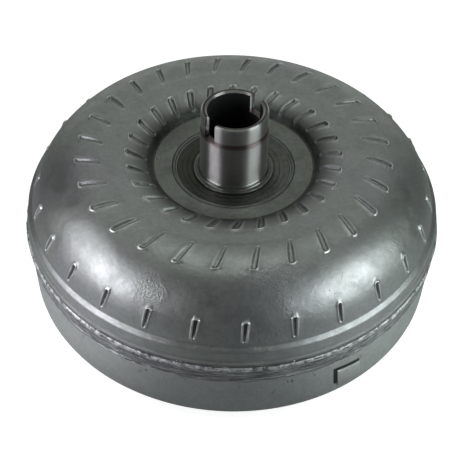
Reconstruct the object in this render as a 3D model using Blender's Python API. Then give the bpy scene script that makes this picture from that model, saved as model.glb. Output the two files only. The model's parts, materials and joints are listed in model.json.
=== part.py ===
"""Torque converter, 12.5 inch class: welded housing, pump, turbine, and stator on a roller clutch.

The converter stands on its six drive lugs with the pump hub up.
The shaft axis is Z. Every length below is in millimetres, and to_metres scales the finished pieces.
Azimuths are measured from -Y, counter-clockwise seen from above.
"""

from math import cos, pi, radians, sin, tau

import bmesh
import bpy
from mathutils import Matrix

MM = 0.001
GAP = 0.3                     # running and fitting gap between touching pieces

# Fluid circuit: one torus about the shaft axis
TORUS_R = 103.0               # radius of the torus centre line
TORUS_Z = 68.0                # height of the torus centre plane
SHELL_SEMI_R = 50.7           # pump shell, outer semi-axis across the shaft
SHELL_SEMI_Z = 51.9           # pump shell, outer semi-axis along the shaft
SHELL_WALL = 4.0
CORE_RADIUS = 20.0            # core rings that close the middle of the circuit
CORE_WALL = 2.0

# Blades
PUMP_BLADES = 28
PUMP_STATIONS = [8, 40, 72, 104]
TURBINE_BLADES = 25
TURBINE_STATIONS = [-8, -42, -76, -110, -144]
CORE_END = 172                # where both core rings end, near the stator
TURBINE_OUTER = 46.8          # outer radius of the turbine shell's section
TURBINE_WALL = 2.0
BLADE_THICKNESS = 1.1
BLADE_GAP = 0.8
STATOR_BLADES = 17

# Front cover, drive lugs and balance weight
COVER_R = 157.0
COVER_TOP = 50.5
SKIRT_END = 63.0              # lower end of the shell's skirt; the seam weld fills in below it
COVER_FACE = 9.0
COVER_DISH = 19.5             # height of the recessed middle of the cover
COVER_CORNER = 7.0
COVER_WALL = 4.0
LUG_COUNT = 6
LUG_CIRCLE_R = 128.0
LUG_R = 14.0
LUG_HOLE_R = 4.3
LUG_HOLE_DEPTH = 7.2
WEIGHT_AZIMUTHS = (29.0, 36.0)
WEIGHT_HEIGHTS = (20.5, 39.5)
WEIGHT_THICKNESS = 2.4

# Pump hub
HUB_R = 25.0
HUB_BORE_R = 20.0
HUB_TOP = 158.2
HUB_BASE = 103.4
HUB_UNDERSIDE = 88.8
SLOT_WIDTH = 11.0
SLOT_FLOOR = 142.2
SLOT_AZIMUTHS = (-48.0, 132.0)

# Stator clutch
RACE_R = 26.0
ROLLER_COUNT = 8
ROLLER_R = 3.9
ROLLER_CIRCLE_R = 30.2
CAM_R = 42.0
CAM_BOTTOM = 60.0
CAM_TOP = 81.0

# Turbine hub rivets
RIVET_COUNT = 8
RIVET_CIRCLE_R = 52.5
RIVET_R = 3.0
RIVET_HOLE_R = 3.4

ROUND = 48                    # sides of the large turned pieces
MEDIUM = 32
SMALL = 20

COLOURS = {
    "painted_steel": ((0.33, 0.35, 0.34), 0.38, 0.75),
    "ground_steel": ((0.55, 0.54, 0.52), 0.28, 1.0),
    "weld_steel": ((0.24, 0.24, 0.24), 0.6, 0.8),
    "pressed_steel": ((0.42, 0.42, 0.41), 0.45, 1.0),
    "hard_steel": ((0.62, 0.62, 0.63), 0.2, 1.0),
    "spring_steel": ((0.35, 0.36, 0.40), 0.3, 1.0),
    "cast_aluminium": ((0.72, 0.73, 0.74), 0.5, 1.0),
    "bearing_bronze": ((0.60, 0.42, 0.22), 0.4, 1.0),
}


def clear_scene():
    for item in list(bpy.data.objects):
        bpy.data.objects.remove(item)


def material(name):
    """The shared Principled material of that name."""
    found = bpy.data.materials.get(name)
    if found:
        return found
    colour, roughness, metallic = COLOURS[name]
    made = bpy.data.materials.new(name)
    made.use_nodes = True
    shader = made.node_tree.nodes["Principled BSDF"]
    shader.inputs["Base Color"].default_value = (*colour, 1.0)
    shader.inputs["Roughness"].default_value = roughness
    shader.inputs["Metallic"].default_value = metallic
    return made


def own_material(node, name):
    """A copy of a named material that belongs to one node."""
    copy = material(name).copy()
    copy.name = node + "_" + name
    return copy


def to_object(name, bm, finish, parent=None, smooth=30):
    """Finish a bmesh and link it as one object, still in millimetres."""
    bmesh.ops.recalc_face_normals(bm, faces=bm.faces)
    mesh = bpy.data.meshes.new(name)
    bm.to_mesh(mesh)
    bm.free()
    mesh.shade_smooth()
    mesh.set_sharp_from_angle(angle=radians(smooth))
    made = bpy.data.objects.new(name, mesh)
    bpy.context.scene.collection.objects.link(made)
    mesh.materials.append(own_material(name, finish))
    made.parent = parent
    return made


def to_metres():
    """Scale every piece and its place from millimetres to metres."""
    for item in bpy.data.objects:
        item.location = item.location * MM
        if item.type == "MESH":
            item.data.transform(Matrix.Scale(MM, 4))


def on_axis(name, parent=None):
    """An empty on the shaft axis, which one moving assembly turns about."""
    empty = bpy.data.objects.new(name, None)
    bpy.context.scene.collection.objects.link(empty)
    empty.parent = parent
    return empty


def polar(radius, azimuth, height=0.0):
    """Position at an azimuth in degrees from -Y."""
    angle = radians(azimuth)
    return (radius * sin(angle), -radius * cos(angle), height)


def arc(centre, semi, start, end, steps):
    """Points of an elliptic arc in the (radius, height) plane, angles in degrees from +r."""
    span = end - start
    angles = [radians(start + span * i / steps) for i in range(steps + 1)]
    return [(centre[0] + semi[0] * cos(a), centre[1] + semi[1] * sin(a)) for a in angles]


def torus_point(radius, angle):
    """Point at a distance from the torus centre, in the (radius, height) plane."""
    return (TORUS_R + radius * cos(radians(angle)), TORUS_Z + radius * sin(radians(angle)))


def spin_outline(bm, outline, segments):
    """Turn a closed (radius, height) outline about Z."""
    verts = [bm.verts.new((r, 0.0, z)) for r, z in outline]
    pairs = zip(verts, verts[1:] + verts[:1])
    edges = [bm.edges.new(pair) for pair in pairs if pair[0].co.x > 0 or pair[1].co.x > 0]
    bmesh.ops.spin(bm, geom=verts + edges, cent=(0, 0, 0), axis=(0, 0, 1), dvec=(0, 0, 0),
                   angle=tau, steps=segments, use_merge=True, use_duplicate=False)
    bmesh.ops.remove_doubles(bm, verts=bm.verts, dist=0.001)


def turned(name, outline, segments, finish, parent=None, smooth=30):
    bm = bmesh.new()
    spin_outline(bm, outline, segments)
    return to_object(name, bm, finish, parent, smooth)


def loft(bm, sections):
    """Skin a run of equal closed sections and cap both ends."""
    rings = [[bm.verts.new(point) for point in section] for section in sections]
    count = len(rings[0])
    for near, far in zip(rings, rings[1:]):
        for i in range(count):
            j = (i + 1) % count
            bm.faces.new((near[i], near[j], far[j], far[i]))
    bm.faces.new(rings[0][::-1])
    bm.faces.new(rings[-1])


def toothed_ring(bm, inner, outer_radius, bottom, top):
    """A ring with a round outside and an inside of (azimuth, radius) points."""
    columns = []
    for azimuth, radius in inner:
        near = [bm.verts.new(polar(radius, azimuth, z)) for z in (bottom, top)]
        far = [bm.verts.new(polar(outer_radius, azimuth, z)) for z in (bottom, top)]
        columns.append((near[0], near[1], far[1], far[0]))
    for here, there in zip(columns, columns[1:] + columns[:1]):
        for i in range(4):
            j = (i + 1) % 4
            bm.faces.new((here[i], here[j], there[j], there[i]))


def spline_cutter(major, minor, teeth, bottom, top):
    """A bar with straight-sided teeth that cuts an internal spline."""
    bm = bmesh.new()
    pitch = 360.0 / teeth
    flank = ((0.11, minor), (0.27, major), (0.61, major), (0.77, minor))
    section = [(pitch * (i + share), radius) for i in range(teeth) for share, radius in flank]
    loft(bm, [[polar(radius, azimuth, z) for azimuth, radius in section] for z in (bottom, top)])
    return to_object("spline_cutter", bm, "hard_steel")


def combine(target, tool, operation):
    """Join, cut or trim one object with another, and remove the tool."""
    modifier = target.modifiers.new(operation.lower(), "BOOLEAN")
    modifier.operation = operation
    modifier.solver = "EXACT"
    modifier.object = tool
    bpy.context.view_layer.update()
    graph = bpy.context.evaluated_depsgraph_get()
    mesh = bpy.data.meshes.new_from_object(target.evaluated_get(graph))
    target.modifiers.clear()
    finish = target.data.materials[0]
    target.data = mesh
    target.data.materials.clear()
    target.data.materials.append(finish)
    bpy.data.objects.remove(tool)
    mesh.set_sharp_from_angle(angle=radians(30))


# Housing: pump shell, front cover, hub and welds

def impeller_shell(parent):
    """Pressed pump shell: the rear half of the torus with a skirt that closes on the cover."""
    centre = (TORUS_R, TORUS_Z)
    outside = [(45.2, 105.0), (59.3, 107.5), (62.0, 108.1), (67.0, 110.6), (74.5, 114.6), (83.0, 117.9)]
    outside += arc(centre, (SHELL_SEMI_R, SHELL_SEMI_Z), 101, 17, 7)
    rim = [(151.9, 82.4), (155.5, 80.0), (155.8, 72.8), (157.0, 70.0), (157.6, SKIRT_END)]
    skirt = [(153.2, SKIRT_END), (153.2, 70.0)]
    semi = (SHELL_SEMI_R - SHELL_WALL, SHELL_SEMI_Z - SHELL_WALL)
    inside = [arc(centre, semi, angle, angle, 1)[0] for angle in PUMP_STATIONS]
    throat = [(76.0, 110.8), (60.0, 103.4), (45.2, 101.0)]
    return turned("impeller_shell", outside + rim + skirt + inside + throat, ROUND,
                  "painted_steel", parent)


def front_cover(parent):
    """Pressed cover that faces the engine: a flat annulus, a raised middle and a straight wall."""
    corner = COVER_CORNER
    inner = corner - COVER_WALL
    centre = (COVER_R - corner, COVER_FACE + corner)
    wall = [(COVER_R - COVER_WALL, COVER_TOP), (COVER_R, COVER_TOP)]
    outside = arc(centre, (corner, corner), 0, -90, 3)
    outside += [(94.5, COVER_FACE), (80.0, COVER_DISH), (0.0, COVER_DISH)]
    floor = COVER_FACE + COVER_WALL
    inside = [(0.0, COVER_DISH + COVER_WALL), (78.0, COVER_DISH + COVER_WALL), (92.5, floor)]
    inside += arc(centre, (inner, inner), -90, 0, 2)
    return turned("front_cover", wall + outside + inside, ROUND, "painted_steel", parent)


def seam_weld(parent):
    """Weld all round between the shell's skirt and the cover: a bead above and a low lip below."""
    bottom = COVER_TOP + GAP
    top = SKIRT_END - GAP
    outline = [(153.6, bottom), (157.5, bottom), (157.7, 51.8), (157.1, 55.0)]
    outline += [(158.3, 58.2), (158.4, 60.8), (157.6, top), (153.6, top)]
    return turned("seam_weld", outline, ROUND, "weld_steel", parent)


def hub_weld(parent):
    """Fillet bead between the pump hub's flange and the shell."""
    outline = [(42.3, 100.6), (44.9, 100.6), (44.9, 104.4), (43.9, 105.0), (42.3, 104.2)]
    return turned("hub_weld", outline, MEDIUM, "weld_steel", parent)


def pump_hub(parent):
    """Hub that drives the oil pump through two slots in its end."""
    outline = [(HUB_BORE_R, HUB_UNDERSIDE), (38.5, HUB_UNDERSIDE), (42.0, 92.3), (42.0, HUB_BASE)]
    outline += [(31.0, HUB_BASE + 0.1), (28.0, HUB_BASE + 0.8), (26.0, HUB_BASE + 2.0), (HUB_R, 107.0)]
    outline += [(HUB_R, 142.6), (24.6, 143.2), (24.6, HUB_TOP - 0.7), (23.9, HUB_TOP)]
    outline += [(HUB_BORE_R + 0.8, HUB_TOP), (HUB_BORE_R, HUB_TOP - 0.8)]
    hub = turned("pump_hub", outline, MEDIUM, "ground_steel", parent)
    for azimuth in SLOT_AZIMUTHS:
        bm = bmesh.new()
        bmesh.ops.create_cube(bm, size=1.0)
        length = 14.0
        height = 20.0
        bmesh.ops.scale(bm, vec=(SLOT_WIDTH, length, height), verts=bm.verts)
        x, y, z = polar(22.0, azimuth, SLOT_FLOOR + height / 2)
        turn = Matrix.Rotation(radians(azimuth), 4, "Z")
        bmesh.ops.transform(bm, matrix=Matrix.Translation((x, y, z)) @ turn, verts=bm.verts)
        combine(hub, to_object("slot_cutter", bm, "ground_steel"), "DIFFERENCE")
    return hub


def pilot_boss(parent):
    """Pilot that centres the converter in the crankshaft, with its shoulder on the cover."""
    top = COVER_DISH - GAP
    outline = [(0.0, top), (26.0, top), (26.0, 15.5), (19.0, 14.8), (19.0, 3.2), (17.6, 2.0), (0.0, 2.0)]
    return turned("pilot_boss", outline, SMALL, "ground_steel", parent)


def drive_lug(index, parent):
    """Round pad with a blind threaded hole, welded to the cover for the flexplate bolts."""
    top = COVER_FACE - GAP
    outline = [(0.0, top), (LUG_R, top), (LUG_R, 1.0), (LUG_R - 1.0, 0.0), (LUG_HOLE_R, 0.0)]
    outline += [(LUG_HOLE_R, LUG_HOLE_DEPTH), (0.0, LUG_HOLE_DEPTH)]
    lug = turned("drive_lug_%d" % (index + 1), outline, 14, "ground_steel", parent)
    azimuth = 360.0 / LUG_COUNT * index
    lug.location = polar(LUG_CIRCLE_R, azimuth)
    lug.rotation_euler.z = radians(azimuth)
    return lug


def balance_weight(parent):
    """Small curved plate that is welded to the cover's wall when the converter is balanced."""
    first, last = WEIGHT_AZIMUTHS
    bottom, top = WEIGHT_HEIGHTS
    near = COVER_R + GAP
    far = near + WEIGHT_THICKNESS
    steps = 4
    bm = bmesh.new()
    sections = []
    for i in range(steps + 1):
        azimuth = first + (last - first) * i / steps
        corners = ((near, bottom), (far, bottom), (far, top), (near, top))
        sections.append([polar(radius, azimuth, z) for radius, z in corners])
    loft(bm, sections)
    return to_object("balance_weight", bm, "painted_steel", parent)


# Blades

def blade_row(name, count, meridian, azimuth_at, parent):
    """A core ring with thin blades that stand out of it towards the shell.

    meridian lists (angle, tip) stations along the ring; tip is None past the blades' end.
    """
    half = BLADE_THICKNESS / 2
    inner_radius = CORE_RADIUS - CORE_WALL
    bladed = sum(1 for angle, tip in meridian if tip)
    bm = bmesh.new()
    outer = []
    inner = []
    tips = []
    for angle, tip in meridian:
        rows = ([], [], [])
        for k in range(count):
            azimuth = azimuth_at(angle) + 360.0 * k / count
            along = (cos(radians(azimuth)), sin(radians(azimuth)))
            places = (torus_point(CORE_RADIUS, angle), torus_point(inner_radius, angle), tip)
            for row, place in zip(rows, places):
                for side in (-half, half):
                    if place:
                        x, y, z = polar(place[0], azimuth, place[1])
                        row.append(bm.verts.new((x + along[0] * side, y + along[1] * side, z)))
        outer.append(rows[0])
        inner.append(rows[1])
        tips.append(rows[2])
    columns = 2 * count
    for j in range(len(meridian) - 1):
        for c in range(columns):
            d = (c + 1) % columns
            bm.faces.new((inner[j][c], inner[j][d], inner[j + 1][d], inner[j + 1][c]))
            under_blade = c % 2 == 0 and j + 1 < bladed
            skin = tips if under_blade else outer
            bm.faces.new((skin[j][c], skin[j][d], skin[j + 1][d], skin[j + 1][c]))
            if j + 1 < bladed:
                bm.faces.new((outer[j][c], outer[j + 1][c], tips[j + 1][c], tips[j][c]))
    for c in range(columns):
        d = (c + 1) % columns
        for j in (0, -1):
            bm.faces.new((outer[j][c], outer[j][d], inner[j][d], inner[j][c]))
        if c % 2 == 0:
            for j in (0, bladed - 1):
                bm.faces.new((outer[j][c], outer[j][d], tips[j][d], tips[j][c]))
    return to_object(name, bm, "pressed_steel", parent)


def pump_blade_azimuth(angle):
    """Blade line of the pump: nearly radial at the rim, swept forward towards the hub."""
    return 3.8 + 9.9 * (angle / 112.0) ** 2.5


def turbine_blade_azimuth(angle):
    """Blade line of the turbine: curved back against the pump's."""
    return 2.0 - 26.0 * (-angle / 145.0) ** 1.6


def impeller_vanes(parent):
    semi_r = SHELL_SEMI_R - SHELL_WALL - BLADE_GAP
    semi_z = SHELL_SEMI_Z - SHELL_WALL - BLADE_GAP
    centre = (TORUS_R, TORUS_Z)
    meridian = [(a, arc(centre, (semi_r, semi_z), a, a, 1)[0]) for a in PUMP_STATIONS]
    meridian += [(128, (72.0, 107.9)), (150, (59.7, 93.0)), (CORE_END, None)]
    return blade_row("impeller_vanes", PUMP_BLADES, meridian, pump_blade_azimuth, parent)


def turbine_shell(parent):
    """Thin pressed shell of the turbine with a flange that is riveted to its hub."""
    first, last = TURBINE_STATIONS[0], TURBINE_STATIONS[-1]
    steps = len(TURBINE_STATIONS) - 1
    centre = (TORUS_R, TORUS_Z)
    inner = TURBINE_OUTER - TURBINE_WALL
    outline = arc(centre, (TURBINE_OUTER, TURBINE_OUTER), first, last, steps)
    outline += [(62.5, 39.3), (47.0, 39.3), (47.0, 41.3), (63.5, 41.3)]
    outline += arc(centre, (inner, inner), last, first, steps)
    return turned("turbine_shell", outline, MEDIUM, "pressed_steel", parent)


def turbine_vanes(parent):
    tip = TURBINE_OUTER - TURBINE_WALL - BLADE_GAP
    meridian = [(a, torus_point(tip, a)) for a in TURBINE_STATIONS] + [(-CORE_END, None)]
    return blade_row("turbine_vanes", TURBINE_BLADES, meridian, turbine_blade_azimuth, parent)


def rivet_holes(target, bottom, top):
    bm = bmesh.new()
    for index in range(RIVET_COUNT):
        azimuth = 360.0 / RIVET_COUNT * index
        place = Matrix.Translation(polar(RIVET_CIRCLE_R, azimuth, (bottom + top) / 2))
        turn = Matrix.Rotation(radians(azimuth + 6.0), 4, "Z")
        bmesh.ops.create_cone(bm, cap_ends=True, segments=12, radius1=RIVET_HOLE_R,
                              radius2=RIVET_HOLE_R, depth=top - bottom, matrix=place @ turn)
    combine(target, to_object("rivet_hole", bm, "ground_steel"), "DIFFERENCE")


def turbine_hub(parent):
    """Hub that carries the turbine on the transmission's input shaft."""
    outline = [(12.0, 26.2), (24.0, 26.2), (24.0, 41.6), (58.0, 41.6), (58.0, 46.6)]
    outline += [(38.0, 46.6), (38.0, 51.9), (12.0, 51.9)]
    hub = turned("turbine_hub", outline, SMALL, "ground_steel", parent)
    combine(hub, spline_cutter(14.5, 13.0, 18, 25.0, 53.0), "DIFFERENCE")
    return hub


def turbine_rivet(index, parent):
    """Solid rivet through the turbine flange, with a head on each side."""
    head = 5.0
    outline = [(0.0, 36.8), (3.6, 36.8), (head, 39.0), (RIVET_R, 39.0)]
    outline += [(RIVET_R, 46.9), (head, 46.9), (3.6, 49.0), (0.0, 49.0)]
    rivet = turned("turbine_rivet_%d" % (index + 1), outline, 8, "pressed_steel", parent)
    azimuth = 360.0 / RIVET_COUNT * index
    rivet.location = polar(RIVET_CIRCLE_R, azimuth)
    rivet.rotation_euler.z = radians(azimuth)
    return rivet


# Stator and its one-way clutch

def aerofoil(radius, azimuth):
    """Section of one stator blade at a radius: a thick nose below and a thin swept tail above."""
    camber = ((0.0, 59.2, 1.4), (1.5, 64.0, 3.0), (6.0, 71.0, 1.9), (12.5, 76.8, 0.5))
    scale = radius / 68.0
    front = []
    back = []
    for sweep, height, half in camber:
        shift = sweep * scale
        front.append((shift - half, height))
        back.append((shift + half, height))
    angle = radians(azimuth)
    base = polar(radius, azimuth)
    section = []
    for shift, height in front + back[::-1]:
        section.append((base[0] + shift * cos(angle), base[1] + shift * sin(angle), height))
    return section


def stator_wheel(parent):
    """Cast wheel that redirects the oil from the turbine to the pump."""
    hub = [(42.3, 57.0), (39.3, 57.0), (39.3, 55.4), (53.0, 55.4), (56.0, 58.4), (56.0, 82.0), (53.0, 86.0)]
    hub += [(42.3, 86.0), (42.3, 85.1), (44.3, 85.1), (44.3, 83.6), (42.3, 83.6)]
    wheel = turned("stator_wheel", hub, MEDIUM, "cast_aluminium", parent)
    bm = bmesh.new()
    for k in range(STATOR_BLADES):
        azimuth = 360.0 * k / STATOR_BLADES
        loft(bm, [aerofoil(54.0, azimuth), aerofoil(80.7, azimuth)])
    combine(wheel, to_object("stator_blades", bm, "cast_aluminium"), "UNION")
    shroud = [(79.7, 58.0), (81.6, 59.0), (81.6, 77.0), (79.7, 78.0)]
    combine(wheel, turned("stator_shroud", shroud, MEDIUM + 1, "cast_aluminium"), "UNION")
    return wheel


def clutch_cam(parent):
    """Outer race of the roller clutch, with one ramped pocket for each roller and its spring."""
    pitch = 360.0 / ROLLER_COUNT
    pocket = ((-10.0, 27.6), (-9.0, 34.2), (0.0, 34.5), (8.0, 34.9), (19.0, 34.9), (20.0, 27.6))
    inner = []
    for index in range(ROLLER_COUNT):
        inner += [(pitch * index + share, radius) for share, radius in pocket]
        inner.append((pitch * index + 27.5, 27.4))
    bm = bmesh.new()
    toothed_ring(bm, inner, CAM_R - GAP, CAM_BOTTOM, CAM_TOP)
    return to_object("clutch_cam", bm, "hard_steel", parent)


def clutch_roller(index, parent):
    bm = bmesh.new()
    length = CAM_TOP - CAM_BOTTOM - 2 * GAP
    bmesh.ops.create_cone(bm, cap_ends=True, segments=14, radius1=ROLLER_R, radius2=ROLLER_R, depth=length)
    roller = to_object("clutch_roller_%d" % (index + 1), bm, "hard_steel", parent)
    roller.location = polar(ROLLER_CIRCLE_R, 360.0 / ROLLER_COUNT * index, (CAM_BOTTOM + CAM_TOP) / 2)
    return roller


def roller_spring(index, parent):
    """Folded leaf that pushes its roller up the ramp."""
    folds = 4
    half = 0.7
    first = 8.3
    last = 18.2
    low = 29.3
    high = 32.6
    bm = bmesh.new()
    crests = []
    for i in range(folds + 1):
        azimuth = first + (last - first) * i / folds
        crests.append((azimuth, low if i % 2 else high))
    section = [(azimuth, radius - half) for azimuth, radius in crests]
    section += [(azimuth, radius + half) for azimuth, radius in crests[::-1]]
    base = 360.0 / ROLLER_COUNT * index
    heights = (CAM_BOTTOM + 3.0, CAM_TOP - 3.0)
    loft(bm, [[polar(radius, base + azimuth, z) for azimuth, radius in section] for z in heights])
    return to_object("roller_spring_%d" % (index + 1), bm, "spring_steel", parent)


def clutch_inner_race(parent):
    """Inner race with the spline that holds it on the fixed stator shaft."""
    outline = [(15.5, 57.3), (RACE_R - 0.8, 57.3), (RACE_R, 58.1), (RACE_R, 82.6), (RACE_R - 0.8, 83.4)]
    outline += [(15.5, 83.4)]
    race = turned("clutch_inner_race", outline, 26, "hard_steel", parent)
    combine(race, spline_cutter(18.5, 17.0, 20, 56.0, 85.0), "DIFFERENCE")
    return race


def flat_ring(name, low_r, high_r, bottom, top, finish, parent, segments=SMALL):
    outline = [(low_r, bottom), (high_r, bottom), (high_r, top), (low_r, top)]
    return turned(name, outline, segments, finish, parent)


def snap_ring(parent):
    """Open wire ring in the stator's groove, which holds the clutch pack in."""
    opening = 14.0
    steps = 20
    bm = bmesh.new()
    sections = []
    for i in range(steps + 1):
        azimuth = opening / 2 + (360.0 - opening) * i / steps
        corners = ((40.6, 83.9), (43.8, 83.9), (43.8, 84.8), (40.6, 84.8))
        sections.append([polar(radius, azimuth, z) for radius, z in corners])
    loft(bm, sections)
    return to_object("clutch_snap_ring", bm, "spring_steel", parent)


def bearing_cage(name, middle, parent):
    """Thrust bearing cage with its needle rollers, which stand proud of both faces."""
    needles = 12
    needle_r = 1.25
    plate = flat_ring(name, 27.6, 37.6, middle - 0.5, middle + 0.5, "bearing_bronze", parent)
    bm = bmesh.new()
    for k in range(needles):
        azimuth = radians(360.0 * k / needles + 7.5)
        turn = Matrix.Rotation(azimuth, 4, "Z") @ Matrix.Rotation(pi / 2, 4, "Y")
        place = Matrix.Translation((32.6 * cos(azimuth), 32.6 * sin(azimuth), middle))
        bmesh.ops.create_cone(bm, cap_ends=True, segments=6, radius1=needle_r, radius2=needle_r,
                              depth=7.6, matrix=place @ turn)
    combine(plate, to_object("needles", bm, "hard_steel"), "UNION")
    return plate


def build_housing(housing):
    impeller_shell(housing)
    front_cover(housing)
    seam_weld(housing)
    hub_weld(housing)
    pump_hub(housing)
    pilot_boss(housing)
    balance_weight(housing)
    impeller_vanes(housing)
    flat_ring("front_thrust_washer", 15.0, 24.0, 23.8, 25.9, "bearing_bronze", housing)
    flat_ring("pump_bearing_rear_race", 27.0, 38.0, 87.7, 88.5, "hard_steel", housing)
    for index in range(LUG_COUNT):
        drive_lug(index, housing)


def build_turbine(turbine):
    shell = turbine_shell(turbine)
    hub = turbine_hub(turbine)
    rivet_holes(shell, 38.0, 43.0)
    rivet_holes(hub, 40.0, 48.0)
    turbine_vanes(turbine)
    flat_ring("turbine_bearing_front_race", 27.0, 38.0, 52.2, 53.0, "hard_steel", turbine)
    for index in range(RIVET_COUNT):
        turbine_rivet(index, turbine)


def build_stator(stator):
    stator_wheel(stator)
    clutch_cam(stator)
    for index in range(ROLLER_COUNT):
        clutch_roller(index, stator)
        roller_spring(index, stator)
    flat_ring("clutch_front_plate", 27.0, 42.0, 57.3, 59.7, "pressed_steel", stator)
    flat_ring("clutch_rear_plate", 27.0, 42.0, 81.3, 83.4, "pressed_steel", stator)
    snap_ring(stator)
    flat_ring("turbine_bearing_rear_race", 27.0, 38.0, 56.2, 57.0, "hard_steel", stator)
    flat_ring("pump_bearing_front_race", 27.0, 38.0, 83.7, 84.5, "hard_steel", stator)


def main():
    clear_scene()
    housing = on_axis("housing_axis")
    turbine = on_axis("turbine_axis", housing)
    stator = on_axis("stator_axis", housing)
    build_housing(housing)
    build_turbine(turbine)
    build_stator(stator)
    clutch_inner_race(on_axis("inner_race_axis", stator))
    bearing_cage("turbine_bearing_cage", 54.6, on_axis("turbine_cage_axis", turbine))
    bearing_cage("pump_bearing_cage", 86.1, on_axis("pump_cage_axis", housing))
    to_metres()


main()
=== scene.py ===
"""Studio scene of the torque converter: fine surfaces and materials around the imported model.

Lengths in the tables are millimetres and become metres through MM.
Azimuths are in degrees from -Y, counter-clockwise seen from above.
"""

import json
import random
from math import ceil, cos, degrees, hypot, pi, radians, sin, tan

import bmesh
import bpy
import numpy as np
from mathutils import Matrix, Vector, noise

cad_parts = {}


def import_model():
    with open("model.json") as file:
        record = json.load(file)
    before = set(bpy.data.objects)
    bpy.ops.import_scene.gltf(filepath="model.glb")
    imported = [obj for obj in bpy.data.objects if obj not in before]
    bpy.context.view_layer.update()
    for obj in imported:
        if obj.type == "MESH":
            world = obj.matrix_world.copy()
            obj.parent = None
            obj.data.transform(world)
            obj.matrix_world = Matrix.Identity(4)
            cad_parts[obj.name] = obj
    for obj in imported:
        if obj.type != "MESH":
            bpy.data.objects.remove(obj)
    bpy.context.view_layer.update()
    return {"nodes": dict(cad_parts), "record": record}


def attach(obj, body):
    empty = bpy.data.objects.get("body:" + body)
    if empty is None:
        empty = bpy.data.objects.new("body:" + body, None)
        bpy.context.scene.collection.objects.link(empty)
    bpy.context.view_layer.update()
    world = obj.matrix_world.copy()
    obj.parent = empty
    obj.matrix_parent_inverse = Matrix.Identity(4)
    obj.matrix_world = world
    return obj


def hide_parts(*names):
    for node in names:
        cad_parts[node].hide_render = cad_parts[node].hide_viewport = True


MM = 0.001
HOUSING = "housing"

# Pump shell: its torus section (an ellipse), the turned land round the hub, and the rim's ledge.
# A torus angle is 0 level with the section's middle, on the outside, and 90 at the crest.
TORUS_R = 103.0
TORUS_Z = 68.0
SEMI_R = 50.7
SEMI_Z = 51.9
WALL = 3.6
LAND_R = 59.2
LAND_LOW = 104.5
LEDGE_Z = 70.2
DOME_ANGLES = (101, 16.6)
RIM_ANGLE = 19.0

# Blade slots: three rows that follow each pump blade, whose line sweeps round towards the hub
BLADES = 28
PITCH = 360.0 / BLADES
FIRST_BLADE = 3.8
BLADE_SWEEP = 9.9
SLOT_ROWS = (
    # first and last torus angle, half width, depth, lip, slope, lip width, scuffing and painted shade, struck
    # end (1 rim, -1 hub)
    (20.5, 35.5, 1.15, 1.6, 0.75, 0.9, 0.66, 0.9, -1),
    (75.5, 96.0, 2.1, 1.3, 0.42, 1.4, 0.62, 0.35, 1),
    (115.0, 131.0, 2.3, 1.7, 0.60, 1.3, 0.70, 0.25, 1),
)

# Welds
WELD_CREST = (62.6, 64.6)
HUB_WELD_R = 42.2

# Hub
HUB_R = 25.0
HUB_BORE_R = 20.0
HUB_TOP = 158.2
HUB_SLOT_WIDTH = 11.0
HUB_SLOT_FLOOR = 142.2
HUB_SLOT_AZIMUTHS = (-48.0, 132.0)
FLANGE_TOP = 103.4
FLANGE_FOOT = 88.9
FLANGE_INNER_R = 29.8
HEAT_BAND = 142.6

# Cover and balance weight
COVER_R = 157.0
COVER_TOP = 50.5
COVER_FACE = 9.0
COVER_DISH = 19.5
COVER_WALL = 4.0
WEIGHT_AZIMUTHS = (29.0, 36.0)
WEIGHT_HEIGHTS = (20.5, 39.5)
WEIGHT_THICKNESS = 1.5
WEIGHT_GAP = 2.6

# Drive lugs: threaded blind holes
LUGS = 6
LUG_CIRCLE_R = 128.0
THREAD_R = (4.3, 4.85)
THREAD_DEPTH = 6.6
THREAD_PITCH = 1.25

# Camera, as it stood: on the -Y side, looking down at the middle of the housing
CAMERA_TARGET_Z = 32.0
CAMERA_DISTANCE = 739.0
CAMERA_ELEVATION = 46.24
CAMERA_ROLL = 1.66
CAMERA_LENS = 71.7
CAMERA_SHIFT = (-0.0034, 0.0050)


# ---------------------------------------------------------------- geometry helpers

def polar(radius, azimuth, height=0.0):
    angle = radians(azimuth)
    return Vector((radius * sin(angle), -radius * cos(angle), height))


def arc(centre, semi, start, end, steps):
    """Points of an elliptic arc in the (radius, height) plane, in degrees from +r."""
    angles = [radians(start + (end - start) * i / steps) for i in range(steps + 1)]
    return [(centre[0] + semi[0] * cos(a), centre[1] + semi[1] * sin(a)) for a in angles]


def rounded(corners, step=12.0):
    """A polyline through (r, z, radius) corners, each rounded to its radius."""
    line = [tuple(corners[0][:2])]
    for before, here, after in zip(corners, corners[1:], corners[2:]):
        corner = Vector(here[:2])
        back = Vector(before[:2]) - corner
        ahead = Vector(after[:2]) - corner
        bend = pi - back.angle(ahead)
        if here[2] <= 0 or bend < 0.02:
            line.append(tuple(corner))
            continue
        reach = min(here[2] * tan(bend / 2), back.length * 0.49, ahead.length * 0.49)
        radius = reach / tan(bend / 2)
        start = corner + back.normalized() * reach
        bisector = (back.normalized() + ahead.normalized()).normalized()
        centre = corner + bisector * hypot(radius, reach)
        first = start - centre
        sign = 1.0 if back.x * ahead.y - back.y * ahead.x < 0 else -1.0
        count = max(1, ceil(degrees(bend) / step))
        for i in range(count + 1):
            spoke = Matrix.Rotation(sign * bend * i / count, 2) @ first
            line.append(tuple(centre + spoke))
    line.append(tuple(corners[-1][:2]))
    return line


def divided(outline, longest):
    """A closed outline with its long sides cut into steps of about the given length."""
    line = []
    for here, there in zip(outline, outline[1:] + outline[:1]):
        start = np.array(here)
        along = np.array(there) - start
        steps = max(1, int(hypot(*along) / longest))
        line += [start + along * i / steps for i in range(steps)]
    return line


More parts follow.
